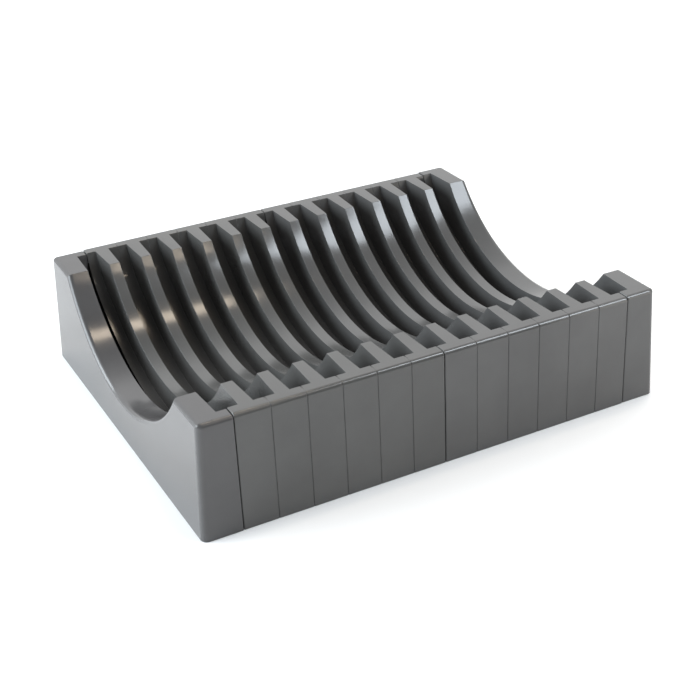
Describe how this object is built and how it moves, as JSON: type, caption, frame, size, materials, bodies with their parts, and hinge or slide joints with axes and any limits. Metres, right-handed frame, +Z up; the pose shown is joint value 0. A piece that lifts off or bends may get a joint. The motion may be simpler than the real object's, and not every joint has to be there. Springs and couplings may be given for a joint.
{
  "type": "plate rack",
  "caption": "Low modular rack of dark moulded plastic that holds plates upright in a row of slots under one round cradle, between rounded ends.",
  "frame": {"origin": "middle of the footprint, on the surface the rack stands on", "axes": "+X along the row of modules to the right, -Y out of the long front face, +Z up"},
  "size_m": [0.342, 0.2796, 0.0815],
  "materials": {
    "left_end_plastic": "satin moulded anthracite plastic",
    "left_centre_plastic": "satin moulded anthracite plastic",
    "right_centre_plastic": "satin moulded anthracite plastic",
    "right_end_plastic": "satin moulded anthracite plastic"
  },
  "bodies": {
    "left_end": {"left_end_module": "left_end_plastic"},
    "left_centre": {"left_centre_module": "left_centre_plastic"},
    "right_centre": {"right_centre_module": "right_centre_plastic"},
    "right_end": {"right_end_module": "right_end_plastic"}
  },
  "joints": [
    {"name": "left_centre_lift", "type": "slide", "parent": "left_end", "child": "left_centre", "axis": [0, 0, 1], "range_m": [0, 0.075]},
    {"name": "right_centre_lift", "type": "slide", "parent": "left_centre", "child": "right_centre", "axis": [0, 0, 1], "range_m": [0, 0.075]},
    {"name": "right_end_lift", "type": "slide", "parent": "right_centre", "child": "right_end", "axis": [0, 0, 1], "range_m": [0, 0.075]}
  ]
}
